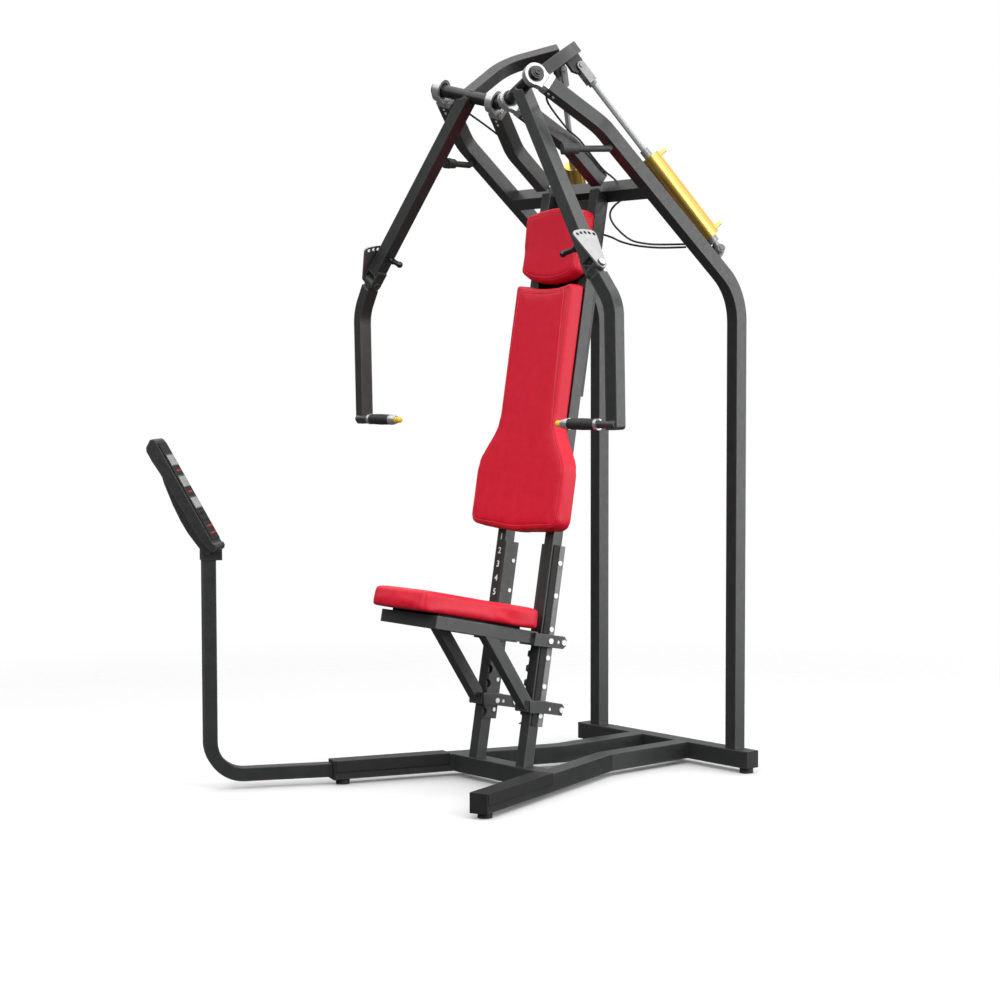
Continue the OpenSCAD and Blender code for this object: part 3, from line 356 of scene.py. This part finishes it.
by_slot = {
    "frame_paint": frame_paint, "black_plastic": black_plastic, "display_face": face_grey,
    "black_rubber": rubber, "polished_alloy": alloy, "brushed_steel": steel, "chrome_steel": zinc,
    "black_steel": black_steel, "board": board_black, "red_vinyl": red_vinyl,
    "yellow_plastic": yellow, "gold_anodised": barrels["r"],
}
by_node = {
    "rail_covers": black_cover, "rail_end_caps": black_cover, "wear_strips": board_black,
    "air_hoses": hose_black, "rubber_bumpers": bumper_rubber, "bumper_rods": bumper_rubber,
    "rear_channel": frame_dark, "cylinder_brackets": bracket_grey,
    "guide_bars": bracket_grey,
}
for side in "lr":
    by_node["hand_grip_" + side] = grip_foam
    by_node["barrel_" + side] = barrels[side]
    by_node["piston_rod_" + side] = rods[side]
    by_node["clevis_" + side] = cast_alloy
    by_node["cylinder_ends_" + side] = cast_alloy
    by_node["adjuster_plate_" + side] = plate_alloy
    by_node["lever_" + side] = frame_dark
    by_node["upper_arm_" + side] = arm_paint
    by_node["lower_arm_" + side] = arm_paint
slots = {s["node"]: s["material_slot"] for s in frame["record"]["subparts"]}
for name, obj in nodes.items():
    finish = by_node.get(name, by_slot[slots[name]])
    for s in obj.material_slots:
        s.material = finish
    if not obj.material_slots:
        obj.data.materials.append(finish)

# Softly rounded edges on the square tubes.
TUBES = {
    "base_rear_tube": 4, "base_rails": 4, "base_front_tube": 4, "rail_covers": 4, "rail_end_caps": 5,
    "main_tube_l": 4, "main_tube_r": 4, "upper_cross_tube": 3, "inner_tubes": 4, "seat_posts": 3,
    "console_arm": 4, "seat_frame": 3, "upper_arm_l": 4, "upper_arm_r": 4, "lower_arm_l": 4,
    "lower_arm_r": 4, "console_housing": 4, "feet": 3, "rear_channel": 4,
}
for name, width in TUBES.items():
    flat = nodes[name].modifiers.new("merge_flats", "DECIMATE")
    flat.decimate_type = "DISSOLVE"
    flat.angle_limit = math.radians(0.6)
    soft = nodes[name].modifiers.new("soft_edges", "BEVEL")
    soft.width = width / 1000
    soft.segments = 3
    soft.limit_method = "ANGLE"
    soft.angle_limit = math.radians(38)
    soft.harden_normals = False
    soft.use_clamp_overlap = True
    nodes[name].modifiers.new("flat_faces", "WEIGHTED_NORMAL")

# ---------------------------------------------------------------- pads


def arc(cx, cy, r, start, stop, step=15):
    turn = 1 if stop > start else -1
    return [(cx + r * math.cos(math.radians(a)), cy + r * math.sin(math.radians(a)))
            for a in range(start, stop + turn, turn * step)]


def back_outline():
    low, high, top_w, low_w, corner = 659, 1373, 122, 190, 26
    pts = [(0, low)] + arc(low_w - corner, low + 12 + corner, corner, -90, 0)
    pts += [(top_w + (low_w - top_w) * (1 + math.cos(math.pi * i / 10)) / 2, 832 + 15.3 * i) for i in range(11)]
    pts += arc(top_w - 8, high - 8, 8, 0, 90)
    pts += [(top_w * t, high - 15 * (1 - t * t)) for t in (0.75, 0.5, 0.25, 0)]
    return mirrored(pts)


def head_outline():
    low, high = 1402, 1584
    pts = [(118 * t, low - 24 * (1 - t * t)) for t in (0, 0.25, 0.5, 0.75)]
    pts += arc(118 - 12, low + 12, 12, -90, 0) + arc(128 - 20, high - 20, 20, 0, 90)
    pts += [(108 * t, high + 14 * (1 - t * t)) for t in (0.75, 0.5, 0.25, 0)]
    return mirrored(pts)


def seat_outline():
    front, back, front_w, rear_w = -64, 352, 118, 155
    pts = [(0, front)] + arc(front_w - 24, front + 12 + 24, 24, -90, 0)
    pts += [(front_w + (rear_w - front_w) * (1 - math.cos(math.pi * i / 10)) / 2, 180 + 10.5 * i)
            for i in range(11)]
    pts += arc(rear_w - 30, back - 30, 30, 0, 90) + [(0, back)]
    return mirrored(pts)


def mirrored(half):
    """The whole outline in metres, closed, from its right half from bottom centre to top centre."""
    return np.array(half + [(-x, y) for x, y in half[-2:0:-1]], float) / 1000


def edge_distance(pts, outline):
    best = np.full(len(pts), 1e9)
    for a, b in zip(outline, np.roll(outline, -1, axis=0)):
        d = b - a
        t = np.clip(((pts - a) @ d) / max(d @ d, 1e-12), 0, 1)
        best = np.minimum(best, np.linalg.norm(pts - a - t[:, None] * d, axis=1))
    return best


def evaluated(obj):
    graph = bpy.context.evaluated_depsgraph_get()
    return bpy.data.meshes.new_from_object(obj.evaluated_get(graph))


class Pad:
    """A cushion: outline in its own XY plane, thickness along its Z, sewn round the front panel."""

    def __init__(self, name, outline, thick, matrix, voxel, body):
        self.outline, self.thick, self.matrix, self.body = outline, thick, matrix, body
        bm = bmesh.new()
        centre = outline.mean(axis=0)
        start = outline + (centre - outline) * 0.012
        rings = [[bm.verts.new((x, y, z)) for x, y in start] for z in (0.0, thick - 0.002)]
        n = len(outline)
        for k in range(n):
            bm.faces.new((rings[0][k], rings[0][(k + 1) % n], rings[1][(k + 1) % n], rings[1][k]))
        bm.faces.new(rings[1])
        bm.faces.new(list(reversed(rings[0])))
        mesh = bpy.data.meshes.new(name)
        bm.to_mesh(mesh)
        bm.free()
        self.obj = bpy.data.objects.new(name, mesh)
        scene.collection.objects.link(self.obj)
        grid = self.obj.modifiers.new("grid", "REMESH")
        grid.mode = "VOXEL"
        grid.voxel_size = voxel
        grid.use_smooth_shade = True
        soft = self.obj.modifiers.new("soft", "SMOOTH")
        soft.factor = 0.5
        soft.iterations = 9
        self.obj.data = evaluated(self.obj)
        self.obj.modifiers.clear()

    def coords(self, mesh):
        co = np.zeros(len(mesh.vertices) * 3, np.float64)
        mesh.vertices.foreach_get("co", co)
        return co.reshape(-1, 3)

    def begin(self):
        self.rest = self.coords(self.obj.data)
        pins = self.obj.vertex_groups.new(name="back")
        pins.add([int(i) for i in np.where(self.rest[:, 2] < 0.006)[0]], 1.0, "REPLACE")
        cloth = self.obj.modifiers.new("cloth", "CLOTH")
        s = cloth.settings
        s.quality = 6
        s.mass = 0.4
        s.tension_stiffness = s.compression_stiffness = 40
        s.bending_stiffness = 6
        s.use_pressure = True
        s.uniform_pressure_force = 4.0
        s.effector_weights.gravity = 0.0
        s.vertex_group_mass = "back"
        cloth.collision_settings.use_collision = False

    def end(self, cap):
        moved = self.coords(evaluated(self.obj)) - self.rest
        length = np.linalg.norm(moved, axis=1)
        moved *= np.minimum(1, cap / np.maximum(length, 1e-9))[:, None]
        self.obj.modifiers.clear()
        self.obj.data.vertices.foreach_set("co", (self.rest + moved).astype(np.float32).ravel())
        even = self.obj.modifiers.new("even", "SMOOTH")
        even.factor = 0.5
        even.iterations = 14
        self.rest = self.coords(evaluated(self.obj))
        self.obj.modifiers.clear()

    def sew(self, inset, depth):
        """Fits the shape to its outline, sinks the seam groove round the front panel and stores the groove mask for
        the material, which paints shade along it.
        """
        co = self.rest
        for axis, (lo, hi) in enumerate((
            (self.outline[:, 0].min(), self.outline[:, 0].max()),
            (self.outline[:, 1].min(), self.outline[:, 1].max()),
            (0.0, self.thick),
        )):
            a, b = co[:, axis].min(), co[:, axis].max()
            co[:, axis] = lo + (co[:, axis] - a) * (hi - lo) / (b - a)
        front = np.clip((co[:, 2] - self.thick * 0.55) / (self.thick * 0.3), 0, 1)
        d = edge_distance(co[:, :2], self.outline)
        seam_groove_and_shade = np.exp(-((d - inset) / 0.0026) ** 2) * front
        co[:, 2] -= seam_groove_and_shade * depth
        mesh = self.obj.data
        mesh.vertices.foreach_set("co", co.astype(np.float32).ravel())
        mesh.update()
        self.surface = BVHTree.FromPolygons(
            [Vector(v) for v in co], [tuple(p.vertices) for p in mesh.polygons])
        mesh.attributes.new("seam_groove_and_shade", "FLOAT", "POINT").data.foreach_set("value", seam_groove_and_shade.astype(np.float32))
        mesh.transform(self.matrix)
        mesh.update()
        mesh.materials.clear()
        mesh.materials.append(red_vinyl)
        for p in mesh.polygons:
            p.use_smooth = True
        fine = self.obj.modifiers.new("fine", "SUBSURF")
        fine.levels = fine.render_levels = 1


def welt(pad, name, inset, radius=0.0013, sides=6):
    """A thin raised seam on the front panel, inset from the outline, drawn as one closed tube in a lighter red that
    paints its highlight.
    """
    out = pad.outline
    along = np.roll(out, -1, axis=0) - np.roll(out, 1, axis=0)
    along /= np.linalg.norm(along, axis=1)[:, None]
    path = out + np.stack((-along[:, 1], along[:, 0]), axis=1) * inset
    path = path[edge_distance(path, out) > inset - 0.0006]
    loop = resample(path, 0.006)
    for _ in range(4):
        loop = (np.roll(loop, 1, axis=0) + 2 * loop + np.roll(loop, -1, axis=0)) / 4
    top = []
    for x, y in loop:
        hit = pad.surface.ray_cast(Vector((x, y, 0.2)), Vector((0, 0, -1)))[0]
        top.append(hit.z if hit else pad.thick)
    for _ in range(3):
        top = (np.roll(top, 1) + 2 * np.array(top) + np.roll(top, -1)) / 4
    bm = bmesh.new()
    rings = []
    n = len(loop)
    for k in range(n):
        t = loop[(k + 1) % n] - loop[k - 1]
        side = Vector((-t[1], t[0], 0)).normalized()
        c = Vector((loop[k][0], loop[k][1], top[k]))
        rings.append([bm.verts.new(c + (side * math.cos(a) + Z * math.sin(a)) * radius)
                      for a in (2 * math.pi * j / sides for j in range(sides))])
    for a, b in zip(rings, rings[1:] + rings[:1]):
        for j in range(sides):
            bm.faces.new((a[j], a[(j + 1) % sides], b[(j + 1) % sides], b[j]))
    return piece(name, bm, pad.matrix, red_welt_highlight, pad.body, 80)


def resample(path, step):
    """Points at even steps along a closed path."""
    closed = np.vstack((path, path[:1]))
    run = np.concatenate(([0], np.cumsum(np.linalg.norm(np.diff(closed, axis=0), axis=1))))
    at = np.linspace(0, run[-1], int(run[-1] / step), endpoint=False)
    return np.stack([np.interp(at, run, closed[:, i]) for i in (0, 1)], axis=1)


def upright(y0):
    """Pad frame standing on the posts: X across, Y up the post, Z toward the user."""
    o = (post_foot + post_back * y0 + SHIFT) / 1000
    return Matrix((
        (-1, 0, 0, o.x), (0, post_dir.y, -post_back.y, o.y), (0, post_dir.z, -post_back.z, o.z), (0, 0, 0, 1)))


flat_o = (seat_origin + seat_up * 6 + SHIFT) / 1000
on_seat = Matrix((
    (1, 0, 0, flat_o.x), (0, seat_back.y, seat_up.y, flat_o.y), (0, seat_back.z, seat_up.z, flat_o.z),
    (0, 0, 0, 1)))
voxel = 0.0055
pads = [
    (Pad("back_cushion", back_outline(), 0.057, upright(-2), voxel, "frame"), "back_pad", 0.0135, 0.0016),
    (Pad("head_cushion", head_outline(), 0.047, upright(-2), voxel, "frame"), "head_pad", 0.014, 0.0009),
    (Pad("seat_cushion", seat_outline(), 0.058, on_seat, voxel, "seat"), "seat_pad", 0.020, 0.0006),
]
for pad, *_ in pads:
    pad.begin()
scene.frame_start, scene.frame_end = 1, 20
for f in range(1, 21):
    scene.frame_set(f)
for pad, *_ in pads:
    pad.end(0.003)
scene.frame_set(1)
for pad, node, inset, depth in pads:
    pad.sew(inset, depth)
    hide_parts(node)
    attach(pad.obj, pad.body)

# ---------------------------------------------------------------- small pieces


def piece(name, bm, matrix, finish, body, smooth=30):
    mesh = bpy.data.meshes.new(name)
    bmesh.ops.recalc_face_normals(bm, faces=bm.faces)
    bm.to_mesh(mesh)
    bm.free()
    mesh.transform(matrix)
    mesh.materials.append(finish)
    for p in mesh.polygons:
        p.use_smooth = True
    mesh.set_sharp_from_angle(angle=math.radians(smooth))
    obj = bpy.data.objects.new(name, mesh)
    scene.collection.objects.link(obj)
    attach(obj, body)
    return obj


def lathe(bm, profile, at=Matrix(), sides=32):
    """Turns a profile of (radius, height) in millimetres about Z and adds it to bm."""
    rings = []
    for r, h in profile:
        if r == 0:
            rings.append([bm.verts.new(at @ Vector((0, 0, h / 1000)))] * sides)
        else:
            rings.append([bm.verts.new(at @ Vector((
                r / 1000 * math.cos(2 * math.pi * k / sides), r / 1000 * math.sin(2 * math.pi * k / sides),
                h / 1000))) for k in range(sides)])
    for a, b in zip(rings, rings[1:]):
        for k in range(sides):
            q = [a[k], a[(k + 1) % sides], b[(k + 1) % sides], b[k]]
            q = [v for i, v in enumerate(q) if v not in q[:i]]
            if len(q) > 2:
                bm.faces.new(q)


def box_with_rim(bm, w, h, t, at=Matrix(), rim=1.2):
    """A thin plate in the XZ plane, standing t proud along Y, with a chamfered rim."""
    levels = ((0, 0), (t - rim * 0.6, 0), (t, rim))
    loops = []
    for y, inset in levels:
        loops.append([bm.verts.new(at @ (Vector((x * (w / 2 - inset), y, z * (h / 2 - inset))) / 1000))
                      for x, z in ((-1, -1), (1, -1), (1, 1), (-1, 1))])
    for a, b in zip(loops, loops[1:]):
        for k in range(4):
            bm.faces.new((a[k], a[(k + 1) % 4], b[(k + 1) % 4], b[k]))
    bm.faces.new(loops[0])
    bm.faces.new(loops[-1])


# Raised seams round the front panels of the two upright cushions, in a lighter red as a painted highlight.
for pad, node, inset, _ in pads[:2]:
    welt(pad, node + "_welt", inset)

# Seat position numbers on the front of one post.
for i, z in enumerate((699, 658.5, 620, 580, 540)):
    w = (z - 66) / post_dir.z
    at = post_foot + Vector((-102, 0, 0)) + post_dir * w - post_back * 0.25
    data = bpy.data.curves.new(f"number_{i + 1}", "FONT")
    data.body = str(i + 1)
    data.size = 0.0255
    data.offset = 0.0004
    data.align_x = data.align_y = "CENTER"
    obj = bpy.data.objects.new(f"number_{i + 1}", data)
    scene.collection.objects.link(obj)
    flat_mesh = bpy.data.meshes.new_from_object(obj)
    bpy.data.objects.remove(obj)
    num = bpy.data.objects.new(f"number_{i + 1}", flat_mesh)
    p = (at + SHIFT) / 1000
    flat_mesh.transform(Matrix((
        (1, 0, -post_back.x, p.x), (0, post_dir.y, -post_back.y, p.y), (0, post_dir.z, -post_back.z, p.z),
        (0, 0, 0, 1))))
    flat_mesh.materials.append(white_mark)
    scene.collection.objects.link(num)
    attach(num, "frame")

# Display windows, keys and trim lines on the console.
yaw, lean = math.radians(46), math.radians(29.4)
face_dir = Vector((math.sin(yaw), math.cos(yaw), 0))
post_at = Vector((-333, -984, 41)) + Vector((-math.sin(math.radians(26)), -math.cos(math.radians(26)), 0)) * 349
face_low = Vector((post_at.x, post_at.y, 682)) + face_dir * 14
face_up = -face_dir * math.sin(lean) + Z * math.cos(lean)
console = place(face_low, face_up, face_dir)


def on_face(x, z, y=22):
    return console @ Matrix.Translation(Vector((x, y, z)) / 1000)


bezel, glass = bmesh.new(), bmesh.new()
for z in (272, 204, 136):
    box_with_rim(bezel, 78, 40, 1.2, on_face(0, z))
    box_with_rim(glass, 70, 32, 1.9, on_face(0, z))
piece("display_bezels", bezel, Matrix(), black_plastic, "frame")
piece("display_windows", glass, Matrix(), screen, "frame")
keys = bmesh.new()
for x in (-26, 0, 26):
    for z in (104, 84):
        box_with_rim(keys, 18, 10, 1.6, on_face(x, z))
piece("console_keys", keys, Matrix(), face_grey, "frame")
marks = bmesh.new()
for z, w in ((239, 44), (171, 44), (62, 60), (40, 70)):
    box_with_rim(marks, w, 5, 0.7, on_face(-6, z), 0.3)
piece("console_marks", marks, Matrix(), red_mark, "frame")

# Washers and screws on both ends of each shaft.
ring_out = Vector((200.4, -683.4, 1977.4))
for side, flip in (("r", 1), ("l", -1)):
    bm = bmesh.new()
    for z, s in ((ring_out + shaft_dir * 23, 1), (ring_out - shaft_dir * (181 + 23), -1)):
        o, d = z, shaft_dir * s
        if flip < 0:
            o, d = other_side(o), other_side(d)
        lathe(bm, ((0, 0), (14, 0), (14, 1.5), (13, 2.2), (9, 2.2), (9, 5), (8, 6), (4, 6), (3.4, 3.2), (0, 3.2)),
              place(o, d, Z))
    piece("shaft_screws_" + side, bm, Matrix(), black_steel, "press_" + side)

# Bright screws in the ends of the elbow pins.
elbow = Vector((479, -721.5, 1441.5))
arm_top = (ring_out + ring_out - shaft_dir * 181) / 2 - shaft_dir * 5
arm_dir = (elbow - arm_top).normalized()
arm_back = (Y - arm_dir * Y.dot(arm_dir)).normalized()
elbow_axis = arm_dir.cross(arm_back).normalized()
pin_end = elbow + elbow_axis * 34.3
for side, turn in (("r", Vector), ("l", other_side)):
    bm = bmesh.new()
    lathe(bm, ((0, 0), (9.5, 0), (9.5, 1.4), (8.6, 2.2), (5, 2.2), (4.2, 1.2), (0, 1.2)),
          place(turn(pin_end), turn(elbow_axis), Z))
    piece("elbow_screw_" + side, bm, Matrix(), zinc, "lower_" + side)

# ---------------------------------------------------------------- floor

bm = bmesh.new()
bmesh.ops.create_grid(bm, x_segments=1, y_segments=1, size=30)
floor_mesh = bpy.data.meshes.new("floor")
bm.to_mesh(floor_mesh)
bm.free()
floor = bpy.data.objects.new("floor", floor_mesh)
scene.collection.objects.link(floor)
paper = Maker("floor_white", (0.93, 0.93, 0.93), 0.13, spec=0.25)
paper.vary_rough(paper.noise(40, 2), 0.02)
reach = paper.node("ShaderNodeVectorMath")
reach.operation = "LENGTH"
paper.feed(reach.inputs[0], paper.coords)
clear = paper.node("ShaderNodeBsdfTransparent")
fade = paper.node("ShaderNodeMixShader", Fac=paper.ramp(reach.outputs["Value"], 1.6, 3.4))
paper.nt.links.new(paper.bsdf.outputs[0], fade.inputs[1])
paper.nt.links.new(clear.outputs[0], fade.inputs[2])
paper.nt.links.new(fade.outputs[0], paper.nt.nodes["Material Output"].inputs["Surface"])
floor_mesh.materials.append(paper.mat)
floor.visible_diffuse = floor.visible_glossy = False
